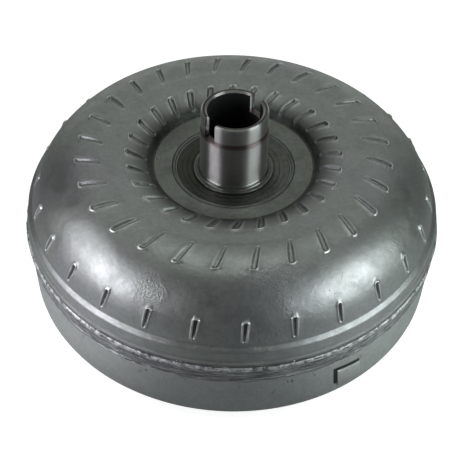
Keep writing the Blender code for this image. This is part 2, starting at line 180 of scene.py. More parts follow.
class Profile:
    """A (radius, height) line measured along its length."""

    def __init__(self, points):
        self.points = np.array(points, float)
        steps = np.hypot(*np.diff(self.points, axis=0).T)
        self.stations = np.concatenate([[0.0], np.cumsum(steps)])
        self.length = self.stations[-1]

    def at(self, s):
        return np.stack([np.interp(s, self.stations, self.points[:, k]) for k in (0, 1)], -1)

    def normal(self, s):
        """Unit normal on the left of the direction of travel, which is outwards here."""
        ahead = self.at(np.minimum(s + 0.25, self.length))
        behind = self.at(np.maximum(s - 0.25, 0.0))
        along = ahead - behind
        along /= np.maximum(np.hypot(along[..., 0], along[..., 1]), 1e-9)[..., None]
        return np.stack([-along[..., 1], along[..., 0]], -1)


def link(name, mesh, finish=None, replaced=()):
    """Link a finished mesh as one piece of the housing; without a finish it keeps its own."""
    piece = bpy.data.objects.new(name, mesh)
    bpy.context.scene.collection.objects.link(piece)
    if finish:
        mesh.materials.clear()
        mesh.materials.append(finish)
    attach(piece, HOUSING)
    if replaced:
        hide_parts(*replaced)


def clean_mesh(name, bm, smooth):
    """Merge poles, point the faces out, and keep edges smooth up to the given angle."""
    bmesh.ops.remove_doubles(bm, verts=bm.verts, dist=1e-7)
    bmesh.ops.recalc_face_normals(bm, faces=bm.faces)
    mesh = bpy.data.meshes.new(name)
    bm.to_mesh(mesh)
    bm.free()
    mesh.shade_smooth()
    if smooth < 180:
        mesh.set_sharp_from_angle(angle=radians(smooth))
    return mesh


def grid_mesh(name, points, smooth, marks=None):
    """Skin a (rows, columns, 3) array that is closed both ways; marks are values per point."""
    rows, columns = points.shape[:2]
    index = np.arange(rows * columns).reshape(rows, columns)
    right = np.roll(index, -1, 1)
    faces = np.stack([index, np.roll(index, -1, 0), np.roll(right, -1, 0), right], -1)
    mesh = bpy.data.meshes.new(name)
    mesh.from_pydata((points.reshape(-1, 3) * MM).tolist(), [], faces.reshape(-1, 4).tolist())
    for mark, values in (marks or {}).items():
        layer = mesh.attributes.new(mark, "FLOAT", "POINT")
        layer.data.foreach_set("value", values.ravel().astype(np.float32))
    bm = bmesh.new()
    bm.from_mesh(mesh)
    bpy.data.meshes.remove(mesh)
    return clean_mesh(name, bm, smooth)


def ring_point(r, azimuth, z):
    """Points at radius, azimuth and height arrays, as an array of (x, y, z)."""
    a = np.radians(azimuth)
    return np.stack([r * np.sin(a), -r * np.cos(a), z], -1)


def turn(points, columns, offset=None):
    """Turn a closed profile about Z. offset(r, z, azimuth) moves a point outwards."""
    points = np.array(points, float)
    r = np.repeat(points[:, :1], columns, 1)
    z = np.repeat(points[:, 1:], columns, 1)
    azimuth = np.broadcast_to(np.arange(columns) * 360.0 / columns, r.shape)
    if offset is not None:
        along = np.roll(points, -1, 0) - np.roll(points, 1, 0)
        along /= np.maximum(np.hypot(along[:, 0], along[:, 1]), 1e-9)[:, None]
        push = offset(r, z, azimuth)
        r = r - along[:, 1:] * push
        z = z + along[:, :1] * push
    return ring_point(r, azimuth, z)


def rough(points, scale, octaves):
    """Smooth noise of each point, between about -1 and 1."""
    flat = [noise.fractal(Vector(p) / scale, 0.8, 2.0, octaves) for p in points.reshape(-1, 3)]
    return np.array(flat).reshape(points.shape[:-1])


def rough_field(r, z, azimuth, scale, octaves=3):
    return rough(ring_point(r, azimuth, z), scale, octaves)


def smoothstep(low, high, value):
    t = np.clip((value - low) / (high - low), 0.0, 1.0)
    return t * t * (3 - 2 * t)


# ---------------------------------------------------------------- materials

class Shader:
    """A node material built up call by call."""

    def __init__(self, name):
        self.material = bpy.data.materials.new(name)
        self.material.use_nodes = True
        self.tree = self.material.node_tree
        self.tree.nodes.clear()
        self.out = self.node("OutputMaterial")
        self.coords = self.node("TexCoord").outputs["Object"]
        self.bsdf = self.node("BsdfPrincipled")
        self.tree.links.new(self.bsdf.outputs[0], self.out.inputs[0])

    def node(self, kind, inputs=None, **settings):
        made = self.tree.nodes.new("ShaderNode" + kind)
        for key, value in settings.items():
            setattr(made, key, value)
        for key, value in (inputs or {}).items():
            if isinstance(value, bpy.types.NodeSocket):
                self.tree.links.new(value, made.inputs[key])
            else:
                made.inputs[key].default_value = value
        return made

    def set(self, **inputs):
        """Set or link the Principled shader's inputs; underscores stand for spaces."""
        for key, value in inputs.items():
            socket = self.bsdf.inputs[key.replace("_", " ")]
            if isinstance(value, bpy.types.NodeSocket):
                self.tree.links.new(value, socket)
            else:
                socket.default_value = value

    def noise(self, scale, detail=3.0, roughness=0.55, stretch=None):
        vector = self.coords
        if stretch:
            vector = self.node("Mapping", {"Vector": vector, "Scale": stretch}).outputs[0]
        inputs = {"Vector": vector, "Scale": scale, "Detail": detail, "Roughness": roughness}
        return self.node("TexNoise", inputs).outputs["Fac"]

    def spots(self, scale):
        return self.node("TexVoronoi", {"Vector": self.coords, "Scale": scale}).outputs["Distance"]

    def rings(self, scale, distortion=0.4):
        """Concentric turning marks about the shaft axis."""
        inputs = {"Vector": self.coords, "Scale": scale, "Distortion": distortion, "Detail": 2.0,
                  "Detail Scale": 1.5}
        wave = self.node("TexWave", inputs, wave_type="RINGS", rings_direction="Z")
        return wave.outputs["Fac"]

    def height(self):
        return self.node("SeparateXYZ", {"Vector": self.coords}).outputs["Z"]

    def band(self, value, low, high, out_low=0.0, out_high=1.0):
        inputs = {0: value, 1: low, 2: high, 3: out_low, 4: out_high}
        return self.node("MapRange", inputs, interpolation_type="SMOOTHSTEP").outputs[0]

    def math(self, operation, a, b=0.0):
        return self.node("Math", {0: a, 1: b}, operation=operation).outputs[0]

    def mix(self, factor, a, b):
        made = self.node("Mix", data_type="RGBA")
        for key, value in (("Factor", factor), ("A", a), ("B", b)):
            socket = next(s for s in made.inputs if s.name == key and s.enabled)
            if isinstance(value, bpy.types.NodeSocket):
                self.tree.links.new(value, socket)
            else:
                socket.default_value = (*value, 1.0) if key != "Factor" else value
        return next(s for s in made.outputs if s.enabled)

    def bump(self, height, distance, strength, normal=None):
        inputs = {"Height": height, "Distance": distance, "Strength": strength}
        if normal:
            inputs["Normal"] = normal
        return self.node("Bump", inputs).outputs[0]

    def edges(self, low, high):
        """1 on sharp outer edges and 0 elsewhere."""
        return self.band(self.node("NewGeometry").outputs["Pointiness"], low, high)


def painted_steel(name, tint, cool, roughness, pit_amount=1.0, bowl_shade=None, weld_scale_and_shade=None, drips=None):
    """Satin metallic paint over pressed steel, with flow marks, dust specks and scuffed edges.

    bowl_shade is the (start, end) radius over which the painted shade round the hub fades out;
    weld_scale_and_shade is the (start, end) height over which the dark heat scale next to the seam
    weld, with the painted shade along the bead's top edge, fades out, on the shell, whose mesh also
    marks its slots' walls for painted shade and their lips for scuffing and painted glints;
    drips is the (lowest, highest) height over which dark runs grow towards that weld, on the cover.
    """
    s = Shader(name)
    cloud = s.noise(9.0, 3.0)
    colour = s.mix(s.band(cloud, 0.35, 0.68), tint, cool)
    # Painted shade: the bowl round the hub gets darker towards the hub, where shade and dark reflections
    # fall.
    if bowl_shade:
        flat = s.node("VectorMath", {0: s.coords, 1: (1.0, 1.0, 0.0)}, operation="MULTIPLY")
        radius = s.node("VectorMath", {0: flat.outputs[0]}, operation="LENGTH").outputs["Value"]
        bowl_shaded = s.band(radius, bowl_shade[0] * MM, bowl_shade[1] * MM, 0.92, 0.0)
        colour = s.mix(bowl_shaded, colour, (0.05, 0.054, 0.046))
    streaks = s.noise(60.0, 4.0, 0.7)
    colour = s.mix(s.band(streaks, 0.42, 0.75, 0.0, 0.35), colour, [c * 0.72 for c in tint])
    mottle = s.noise(330.0, 4.0, 0.75)
    colour = s.mix(s.band(mottle, 0.40, 0.62, 0.0, 0.24), colour, [c * 0.55 for c in tint])
    pits = s.band(s.spots(420.0), 0.0, 0.16, 1.0, 0.0)
    patch = s.band(s.noise(34.0, 2.0), 0.56, 0.70)
    pitted = s.math("MULTIPLY", pits, patch)
    pitted = s.math("MULTIPLY", pitted, pit_amount)
    colour = s.mix(pitted, colour, [c * 0.35 for c in tint])
    if drips:
        reach = s.band(s.height(), drips[0] * MM, drips[1] * MM)
        runs = s.band(s.noise(1.0, 3.0, 0.7, stretch=(240.0, 240.0, 95.0)), 0.60, 0.70)
        where = s.band(s.noise(17.0, 2.0), 0.46, 0.60)
        marks = s.math("MULTIPLY", s.math("MULTIPLY", reach, runs), where)
        colour = s.mix(s.math("MULTIPLY", marks, 0.85), colour, (0.035, 0.037, 0.035))
    if weld_scale_and_shade:
        # Dark band just above the seam weld: heat scale, and painted shade along the bead's top edge.
        low = s.band(s.height(), weld_scale_and_shade[0] * MM, weld_scale_and_shade[1] * MM, 1.0, 0.0)
        flakes = s.noise(1.0, 4.0, 0.7, stretch=(110.0, 110.0, 1000.0))
        flaky = s.mix(s.band(flakes, 0.50, 0.66), (0.05, 0.052, 0.05), (0.36, 0.37, 0.37))
        colour = s.mix(s.math("MULTIPLY", low, 0.8), colour, flaky)
        # Painted shade: the slots' walls are darkened where shade falls inside them.
        slot_shade = s.node("Attribute", attribute_name="painted_slot_shade").outputs["Fac"]
        colour = s.mix(s.math("MULTIPLY", slot_shade, 0.65), colour, (0.04, 0.042, 0.04))
        # Lighter lips: scuffed paint, and painted glints at the slots' struck ends and along the skirt's
        # step.
        worn_lip_glint = s.node("Attribute", attribute_name="worn_lip_glint").outputs["Fac"]
        wear_and_glint = s.band(s.noise(95.0, 3.0, 0.6), 0.38, 0.62, 0.35, 0.9)
        colour = s.mix(s.math("MULTIPLY", worn_lip_glint, wear_and_glint), colour, (0.78, 0.80, 0.79))
    else:
        colour = s.mix(s.edges(0.53, 0.60), colour, (0.62, 0.63, 0.62))
    sand = s.math("MULTIPLY", s.noise(520.0, 3.0, 0.7), s.band(s.noise(22.0, 2.0), 0.46, 0.66))
    grain = s.noise(1500.0, 2.0)
    ripple = s.noise(150.0, 3.0, 0.6)
    normal = s.bump(grain, 0.00012, 0.35)
    normal = s.bump(sand, 0.0009, 0.6, normal)
    normal = s.bump(ripple, 0.0009, 0.24, normal)
    normal = s.bump(s.math("SUBTRACT", 1.0, pitted), 0.0006, 0.6, normal)
    if weld_scale_and_shade:
        normal = s.bump(s.math("MULTIPLY", low, flakes), 0.0018, 0.8, normal)
    s.set(Base_Color=colour, Metallic=0.97, Normal=normal)
    s.set(Roughness=s.band(streaks, 0.25, 0.75, roughness - 0.05, roughness + 0.09))
    return s.material


def machined_ring(name, tint, roughness, line_scale, depth, plus_x_colour=None):
    """Lathe-turned face under a thin coat: fine concentric lines with stained patches.

    plus_x_colour is the lighter colour that the ring takes on its +X side.
    """
    s = Shader(name)
    lines = s.rings(line_scale, 0.25)
    stain = s.noise(45.0, 3.0, 0.6)
    colour = s.mix(s.band(stain, 0.35, 0.7), tint, [c * 0.7 for c in tint])
    if plus_x_colour:
        # The ring turns to the given lighter colour on its +X side.
        across = s.node("SeparateXYZ", {"Vector": s.coords}).outputs["X"]
        ragged = s.math("ADD", across, s.math("MULTIPLY", stain, 0.03))
        colour = s.mix(s.band(ragged, 0.030, 0.050), colour, plus_x_colour)
    colour = s.mix(s.band(lines, 0.2, 0.9, 0.0, 0.25), colour, [min(1.0, c * 1.5) for c in tint])
    mottle = s.noise(300.0, 4.0, 0.75)
    colour = s.mix(s.band(mottle, 0.42, 0.60, 0.0, 0.35), colour, [c * 0.5 for c in tint])
    normal = s.bump(lines, depth, 0.6)
    normal = s.bump(s.noise(900.0, 2.0), 0.0001, 0.3, normal)
    s.set(Base_Color=colour, Metallic=0.9, Normal=normal)
    s.set(Roughness=s.band(stain, 0.3, 0.7, roughness, roughness + 0.14))
    return s.material


def ground_steel(name, tint, roughness, anisotropy, heat_height):
    """Bright ground steel with fine lines round the axis, and a brown heat tint at one height."""
    s = Shader(name)
    lines = s.noise(1.0, 3.0, 0.7, stretch=(6.0, 6.0, 2600.0))
    smear = s.noise(55.0, 3.0, 0.6)
    colour = s.mix(s.band(lines, 0.3, 0.7), tint, [c * 0.78 for c in tint])
    colour = s.mix(s.band(smear, 0.5, 0.75, 0.0, 0.4), colour, [c * 0.6 for c in tint])
    z = s.height()
    below = s.band(z, (heat_height - 3.5) * MM, heat_height * MM)
    above = s.band(z, (heat_height + 0.8) * MM, (heat_height + 3.0) * MM, 1.0, 0.0)
    tinted = s.math("MULTIPLY", s.math("MULTIPLY", below, above), 0.85)
    colour = s.mix(tinted, colour, (0.18, 0.13, 0.13))
    normal = s.bump(lines, 0.00008, 0.5)
    tangent = s.node("Tangent", direction_type="RADIAL", axis="Z").outputs[0]
    s.set(Base_Color=colour, Metallic=1.0, Normal=normal, Tangent=tangent, Anisotropic=anisotropy,
          Anisotropic_Rotation=0.25)
    s.set(Roughness=s.band(smear, 0.3, 0.75, roughness, roughness + 0.12))
    return s.material


def weld_steel(name, tint, crest):
    """Coated weld metal: dark lengthwise streaks, and bright specks above the crest's heights, scuffed metal
    with a painted highlight.
    """
    s = Shader(name)
    lumps = s.noise(1.0, 4.0, 0.65, stretch=(70.0, 70.0, 1100.0))
    soot_and_shade = s.noise(70.0, 3.0, 0.6)
    colour = s.mix(s.band(lumps, 0.42, 0.62), [c * 0.22 for c in tint], tint)
    colour = s.mix(s.band(soot_and_shade, 0.45, 0.70), colour, [c * 0.45 for c in tint])
    # Painted highlight: bright specks along the bead's crest, partly scuffed metal.
    wear_and_glint = s.band(s.height(), crest[0] * MM, crest[1] * MM, 0.0, 0.7)
    glint = s.band(s.noise(260.0, 3.0, 0.6), 0.40, 0.58)
    colour = s.mix(s.math("MULTIPLY", wear_and_glint, glint), colour, (0.85, 0.86, 0.87))
    normal = s.bump(lumps, 0.0012, 0.7)
    s.set(Base_Color=colour, Metallic=0.8, Normal=normal)
    s.set(Roughness=s.band(soot_and_shade, 0.3, 0.7, 0.42, 0.6))
    return s.material


def plain_metal(name, tint, roughness, metallic=1.0, grain=700.0, depth=0.0002, rings=None):
    """Sheet, cast or turned metal inside the housing, wet with old oil."""
    s = Shader(name)
    cloud = s.noise(70.0, 3.0, 0.6)
    colour = s.mix(s.band(cloud, 0.35, 0.7), tint, [c * 0.66 for c in tint])
    texture = s.rings(rings) if rings else s.noise(grain, 3.0, 0.6)
    normal = s.bump(texture, depth, 0.5)
    s.set(Base_Color=colour, Metallic=metallic, Normal=normal)
    s.set(Roughness=s.band(cloud, 0.3, 0.7, roughness, roughness + 0.15))
    return s.material


# ---------------------------------------------------------------- pump shell

def blade_azimuth(angle):
    """The blade line's azimuth where the torus angle is given, in degrees."""
    return FIRST_BLADE + BLADE_SWEEP * (np.clip(angle, 0.0, 128.0) / 112.0) ** 2.5


def shell_outside():
    """Outer line of the pump shell, from the weld at the hub to the skirt's end."""
    land = [(44.9, 104.0, 0), (45.2, 104.8, 0.3), (52.0, 105.4, 8), (58.9, 106.9, 0.4), (59.6, 107.4, 0.4)]
    throat = [(60.3, 107.4, 0.6), (61.7, 109.1, 2), (64.6, 111.9, 8), (69.5, 114.6, 15), (76.0, 116.9, 20)]
    crest = [(84.0, 118.3, 20)]
    dome = arc((TORUS_R, TORUS_Z), (SEMI_R, SEMI_Z), *DOME_ANGLES, 60)
    step = [(152.3, 81.7, 0.3), (153.3, 81.2, 0.3), (155.2, 79.5, 0.5), (155.5, 74.6, 3), (155.6, 72.6, 0.8)]
    skirt = [(157.0, 69.9, 0.8), (157.2, 68.5, 3), (157.55, 63.4, 0.3), (157.2, 63.0, 0)]
    upper = rounded(land + throat + crest + [(*dome[0], 0)])
    lower = rounded([(*dome[-1], 0)] + step + skirt)
    return Profile(upper[:-1] + dome + lower[1:])


def shell_inside():
    """Inner line of the pump shell, from the skirt's end back to the hub."""
    skirt = [(153.4, 63.0), (153.3, 69.0), (151.5, 74.0)]
    dome = arc((TORUS_R, TORUS_Z), (SEMI_R - WALL, SEMI_Z - WALL), 16, 100, 10)
    throat = [(84.0, 114.0), (76.0, 111.0), (67.0, 106.7), (60.0, 103.8), (44.9, 101.2)]
    return skirt + dome + throat


def torus_angle(places):
    """The torus angle of each (radius, height) place, in degrees."""
    return np.degrees(np.arctan2(places[:, 1] - TORUS_Z, places[:, 0] - TORUS_R))


def slot_relief(rows, lateral, s, own_depths):
    """The slots at each point of one ring: outward push, share of painted shade on the wall, share of scuffed
    lip and painted glint.

    lateral and s are the distances across and along the blade line, and own_depths has each row's
    share of the full depth. A slot is narrower and shallower away from its struck end.
    """
    push = np.zeros_like(lateral)
    wall = np.zeros_like(lateral)
    crest = np.zeros_like(lateral)
    for row, own_depth in zip(rows, own_depths):
        start, end, half_width, depth, lip, slope, spread, wear_and_shade, struck = row
        middle = (start + end) / 2
        half = abs(end - start) / 2
        toward = struck * (s - middle) / half
        width = half_width * (0.7 + 0.3 * smoothstep(-1.0, 0.2, toward))
        corner = half_width * 0.7
        dx = np.abs(lateral) - (width - corner)
        dy = np.abs(s - middle) - (half - corner)
        outside = np.hypot(np.maximum(dx, 0), np.maximum(dy, 0))
        distance = outside + np.minimum(np.maximum(dx, dy), 0) - corner
        ridge = np.exp(-((distance - 1.1 * spread) / spread) ** 2)
        swelling = 0.75 + 1.0 * smoothstep(0.6, 1.1, toward)
        fading = 0.4 + 0.6 * smoothstep(-1.0, 0.1, toward)
        push += lip * ridge * swelling
        push -= depth * own_depth * fading * (1 - smoothstep(-slope, 0.25, distance))
        # Painted shade inside the slot, along its walls.
        wall = np.maximum(wall, wear_and_shade * fading * np.exp(-((distance + 0.45) / 0.5) ** 2))
        # Scuffed lips, and a painted glint at each slot's struck end.
        crest = np.maximum(crest, wear_and_shade * ridge * fading + 0.9 * ridge * smoothstep(0.85, 1.1, toward))
    return push, wall, crest


def shell_stations(length, slot_ends, rim_start):
    """Distances along the shell's line: close together at the slots' ends and below the dome."""
    stations = [0.0]
    while stations[-1] < length:
        s = stations[-1]
        step = 1.5
        if min(abs(s - end) for end in slot_ends) < 1.7:
            step = 0.42
        if s > rim_start:
            step = 0.75
        stations.append(s + step)
    stations[-1] = length
    return np.array(stations)


# Distances of the mesh columns from a blade line, and how many more lie between two blades
COLUMN_HALF = [0.0, 0.5, 0.9, 1.2, 1.5, 1.8, 2.15, 2.5, 2.9, 3.4]
COLUMNS = np.array([-v for v in COLUMN_HALF[:0:-1]] + COLUMN_HALF)
GAP_COLUMNS = 5
FAR_FROM_SLOTS = 9.0


def shell_columns(r, line):
    """Azimuth and lateral distance of every column on a ring whose first blade is at the line."""
    near = np.degrees(COLUMNS / r)
    share = np.arange(1, GAP_COLUMNS + 1) / (GAP_COLUMNS + 1)
    free = near[-1] + share * (PITCH - near[-1] + near[0])
    one = np.concatenate([near, free])
    lateral = np.concatenate([COLUMNS, np.full(GAP_COLUMNS, FAR_FROM_SLOTS)])
    every = [line + k * PITCH + one for k in range(BLADES)]
    return np.concatenate(every), np.tile(lateral, BLADES)


def pump_shell(finish, land):
    """The pressed shell with its three rows of blade slots."""
    outside = shell_outside()
    fine = np.linspace(0.0, outside.length, 1200)
    angle = torus_angle(outside.at(fine))

    def station(wanted):
        return float(np.interp(-wanted, -angle, fine))

    rows = [(station(a), station(b), *rest) for a, b, *rest in SLOT_ROWS]
    slot_ends = [end for row in rows for end in row[:2]]
    stations = shell_stations(outside.length, slot_ends, station(RIM_ANGLE))
    section = outside.at(stations)
    normal = outside.normal(stations)
    lead = blade_azimuth(np.interp(stations, fine, angle))

    # Every slot has its own depth, and a blade's three slots shift together, by its middle draw
    shake = random.Random(28)
    per_blade = len(COLUMNS) + GAP_COLUMNS
    depths = np.array([[shake.uniform(0.85, 1.12) for _ in SLOT_ROWS] for _ in range(BLADES)])
    shifts = np.array([[shake.uniform(-0.35, 0.35) for _ in SLOT_ROWS] for _ in range(BLADES)])
    own_depths = np.repeat(depths, per_blade, 0).T
    shift = np.repeat(shifts[:, 1], per_blade)

    rings, walls, crests = [], [], []
    for (r, z), (nr, nz), line, s in zip(section, normal, lead, stations):
        azimuth, lateral = shell_columns(r, line)
        push, wall, crest = slot_relief(rows, lateral, s + shift, own_depths)
        rings.append(ring_point(r + nr * push, azimuth, z + nz * push))
        walls.append(wall)
        # Painted highlight: a light line along the skirt's step at the ledge height.
        painted_ledge_line = 0.6 * np.exp(-((z - LEDGE_Z) / 0.5) ** 2) * (r > 155)
        crests.append(np.maximum(crest, painted_ledge_line))
    skin = np.array(rings)
    wave = 0.10 * rough(skin, 34.0, 2)[..., None]
    radial = skin[..., :2] / np.hypot(skin[..., 0], skin[..., 1])[..., None]
    skin[..., :2] += radial * normal[:, None, :1] * wave
    skin[..., 2:] += normal[:, None, 1:] * wave

    inner = np.array(shell_inside())
    lining = []
    for (r, z), line in zip(inner, blade_azimuth(torus_angle(inner))):
        azimuth, lateral = shell_columns(r, line)
        lining.append(ring_point(r, azimuth, np.full_like(azimuth, z)))
    bare = np.zeros((len(inner), skin.shape[1]))
    marks = {"painted_slot_shade": np.concatenate([walls, bare]), "worn_lip_glint": np.concatenate([crests, bare])}
    mesh = grid_mesh("pump_shell_skin", np.concatenate([skin, lining]), 180, marks)
    mesh.materials.append(finish)
    mesh.materials.append(land)
    for face in mesh.polygons:
        centre = face.center / MM
        if hypot(centre.x, centre.y) < LAND_R and centre.z > LAND_LOW:
            face.material_index = 1
    link("pump_shell_skin", mesh, replaced=["impeller_shell"])


# ---------------------------------------------------------------- other housing pieces

def front_cover(finish):
    """The pressed cover: a dish round the pilot, a rounded lower edge and a slightly wavy wall."""
    ceiling = COVER_FACE + COVER_WALL
    inner_r = COVER_R - COVER_WALL
    outer = [(0, COVER_DISH, 0), (75, COVER_DISH, 6), (82, 17.6, 6), (94.5, COVER_FACE, 9)]
    outer += [(COVER_R, COVER_FACE, 7), (COVER_R, COVER_TOP, 0.5), (inner_r, COVER_TOP, 0)]
    dish = COVER_DISH + COVER_WALL
    inner = [(inner_r, ceiling, 3.5), (92.5, ceiling, 6), (78, dish, 6), (0, dish, 0)]
    outline = rounded(outer + inner, 8.0)[::-1]

    def offset(r, z, azimuth):
        on_wall = (r > 140) & (z < 50)
        return np.where(on_wall, 0.09 * rough_field(r, z, azimuth, 42.0, 2), 0.0)

    mesh = grid_mesh("front_cover_skin", turn(divided(outline, 7.0), 240, offset), 35)
    link("front_cover_skin", mesh, finish=finish, replaced=["front_cover"])


def seam_weld(finish):
    """Rough arc weld: a full bead on the skirt's lower end, a hollow, and a thin run at the cover."""
    back = [(153.9, 51.0), (153.9, 62.4)]
    face = [(157.1, 66.6, 0), (158.2, 66.3, 0.4), (158.6, 64.8, 0.9), (158.3, 61.4, 2.5), (158.1, 58.0, 1.6)]
    hollow = [(157.3, 56.0, 0.8), (157.1, 53.4, 0.8)]
    run = [(157.8, 51.9, 0.7), (157.7, 51.0, 0.3), (156.9, 50.7, 0)]
    bead = Profile(rounded(face + hollow + run, 20.0))
    line = bead.at(np.linspace(0.0, bead.length, 40)).tolist()

    def offset(r, z, azimuth):
        outer = smoothstep(156.6, 157.4, r)
        upper = smoothstep(55.5, 58.5, z)
        ripple = 0.07 * np.sin(np.radians(azimuth) * 260.0 + 0.9 * (z - 57.0)) * upper
        patchy = smoothstep(-0.1, 0.5, rough_field(r, z * 0.4, azimuth, 40.0, 2))
        lumps = 0.5 * rough_field(r, z * 2.2, azimuth, 7.0) * (0.2 + patchy)
        swell = 0.5 * rough_field(r, z, azimuth, 19.0, 2)
        return -outer * (ripple + lumps + swell - 0.1)

    mesh = grid_mesh("seam_weld_bead", turn(back[::-1] + line[::-1], 1100, offset), 180)
    link("seam_weld_bead", mesh, finish=finish, replaced=["seam_weld"])


def weld_spatter(finish):
    """Small drops of weld metal that stuck to the skirt above the seam and the wall below it."""
    scatter = random.Random(5)
    squash = Matrix.Diagonal((1.0, 1.0, 0.8, 1.0))
    bm = bmesh.new()
    for _ in range(150):
        azimuth = scatter.uniform(-180, 180)
        if scatter.random() < 0.6:
            height = 67.0 + 2.6 * scatter.random() ** 2
            radius = 157.5 - 0.07 * (height - 64.0)
        else:
            height = 49.8 - 7.0 * scatter.random() ** 2
            radius = COVER_R
        size = 0.3 + 0.6 * scatter.random() ** 3
        place = Matrix.Translation(polar(radius - size * 0.35, azimuth, height)) @ squash
        bmesh.ops.create_icosphere(bm, subdivisions=2, radius=size, matrix=place)
    bmesh.ops.scale(bm, vec=(MM,) * 3, verts=bm.verts)
    mesh = clean_mesh("weld_spatter", bm, 180)
    link("weld_spatter", mesh, finish=finish)


def hub_weld(finish):
    """The weld round the hub's flange, turned down to a narrow hollow."""
    crown = [(44.9, 101.0, 0), (45.25, 104.8, 0.3), (44.6, 104.9, 0.3), (43.2, 103.5, 0.8)]
    crown += [(HUB_WELD_R, FLANGE_TOP, 0)]
    outline = rounded(crown) + [(HUB_WELD_R, 101.0)]

    def offset(r, z, azimuth):
        lumps = 0.07 * rough_field(r, z, azimuth, 4.0)
        return smoothstep(FLANGE_TOP, 104.0, z) * lumps

    mesh = grid_mesh("hub_weld_bead", turn(outline, 420, offset), 180)
    link("hub_weld_bead", mesh, finish=finish, replaced=["hub_weld"])


def boolean_cut(mesh, cutter_bm):
    """The mesh with the cutter's shape taken away and its sharp edges broken."""
    body = bpy.data.objects.new("cut_body", mesh)
    tool_mesh = bpy.data.meshes.new("cut_tool")
    cutter_bm.to_mesh(tool_mesh)
    cutter_bm.free()
    tool = bpy.data.objects.new("cut_tool", tool_mesh)
    for item in (body, tool):
        bpy.context.scene.collection.objects.link(item)
    modifier = body.modifiers.new("cut", "BOOLEAN")
    modifier.operation = "DIFFERENCE"
    modifier.solver = "EXACT"
    modifier.object = tool
    bevel = body.modifiers.new("edge", "BEVEL")
    bevel.width = 0.35 * MM
    bevel.segments = 2
    bevel.limit_method = "ANGLE"
    bevel.angle_limit = radians(50)
    bpy.context.view_layer.update()
    graph = bpy.context.evaluated_depsgraph_get()
    result = bpy.data.meshes.new_from_object(body.evaluated_get(graph))
    bpy.data.objects.remove(body)
    bpy.data.objects.remove(tool)
    return result


def pump_hub(steel, flange, bore, collar):
    """The slotted hub tube and its flange; tube, flange face and collar have their finishes, and the bore a
    near-black one for painted shade.
    """
    foot = [(HUB_BORE_R, FLANGE_FOOT, 0), (38.5, FLANGE_FOOT, 0), (41.9, 92.4, 0), (42.3, 103.2, 0.2)]
    flange_face = [(41.9, FLANGE_TOP, 0.2)]
    for groove in ((38.6, 38.3, 38.0, 0.3), (35.1, 34.8, 34.5, 0.35)):
        outer, middle, inner, depth = groove
        flange_face += [(outer, FLANGE_TOP, 0.1), (middle, FLANGE_TOP - depth, 0.1), (inner, FLANGE_TOP, 0.1)]
    flange_face += [(31.3, FLANGE_TOP, 0.2)]
    collar_steps = [(30.9, 102.5, 0.2), (30.2, 102.6, 0.2), (29.7, 103.6, 0.3), (28.6, 103.9, 0.3)]
    collar_steps += [(28.3, 103.8, 0.1), (27.2, 104.4, 0.8), (26.1, 105.3, 0.5), (25.2, 106.6, 1.2)]
    tube = [(HUB_R, 109.0, 1.0), (HUB_R, 142.0, 0.3), (24.3, 142.8, 0.2), (24.0, 143.1, 0.1)]
    tube += [(24.0, 144.0, 0.1), (24.35, 144.3, 0.2), (24.35, HUB_TOP - 1.2, 0.4)]
    mouth = [(23.2, HUB_TOP, 0.4), (HUB_BORE_R + 1.5, HUB_TOP, 0.4), (HUB_BORE_R, HUB_TOP - 1.5, 0.4)]
    corners = foot + flange_face + collar_steps + tube + mouth + foot[:1]
    outline = rounded(corners, 15.0)[:-1][::-1]
    mesh = grid_mesh("pump_hub_fine", turn(divided(outline, 6.0), 144), 30)
    cutter = bmesh.new()
    cut_depth, cut_height = 14.0, 20.0
    wall_middle = 22.0
    size = Matrix.Diagonal((HUB_SLOT_WIDTH, cut_depth, cut_height, 1.0))
    for azimuth in HUB_SLOT_AZIMUTHS:
        place = Matrix.Translation(polar(wall_middle, azimuth, HUB_SLOT_FLOOR + cut_height / 2))
        facing = Matrix.Rotation(radians(azimuth), 4, "Z")
        bmesh.ops.create_cube(cutter, size=1.0, matrix=place @ facing @ size)
    bmesh.ops.scale(cutter, vec=(MM,) * 3, verts=cutter.verts)
    mesh = boolean_cut(mesh, cutter)
    mesh.shade_smooth()
    mesh.set_sharp_from_angle(angle=radians(30))
    mesh.materials.clear()
    for finish in (steel, flange, bore, collar):
        mesh.materials.append(finish)
    for face in mesh.polygons:
        centre = face.center / MM
        radius = hypot(centre.x, centre.y)
        # Painted shade: the bore takes the near-black finish for the shade inside it.
        if radius < HUB_BORE_R + 0.2:
            face.material_index = 2
        elif (radius > FLANGE_INNER_R and centre.z > 100) or centre.z > HUB_TOP - 0.05:
            face.material_index = 1
        elif radius > HUB_R + 0.6 and centre.z > 100:
            face.material_index = 3
    link("pump_hub_fine", mesh, replaced=["pump_hub"])


def plate_corner(r, azimuth, z):
    """A corner of the balance weight, which sits slightly askew, in metres."""
    first, last = WEIGHT_AZIMUTHS
    share = (azimuth - first) / (last - first)
    return polar(r, azimuth + 0.045 * (WEIGHT_HEIGHTS[1] - z), z - 1.6 * share) * MM


def curved_bar(bm, azimuths, radii, heights, steps):
    """Add a bar that follows the wall between two azimuths, radii and heights."""
    near, far = radii
    low, high = heights
    rings = []
    for i in range(steps + 1):
        azimuth = azimuths[0] + (azimuths[1] - azimuths[0]) * i / steps
        corners = ((near, low), (far, low), (far, high), (near, high))
        rings.append([bm.verts.new(plate_corner(r, azimuth, z)) for r, z in corners])
    for here, there in zip(rings, rings[1:]):
        for i in range(4):
            j = (i + 1) % 4
            bm.faces.new((here[i], here[j], there[j], there[i]))
    bm.faces.new(rings[0][::-1])
    bm.faces.new(rings[-1])


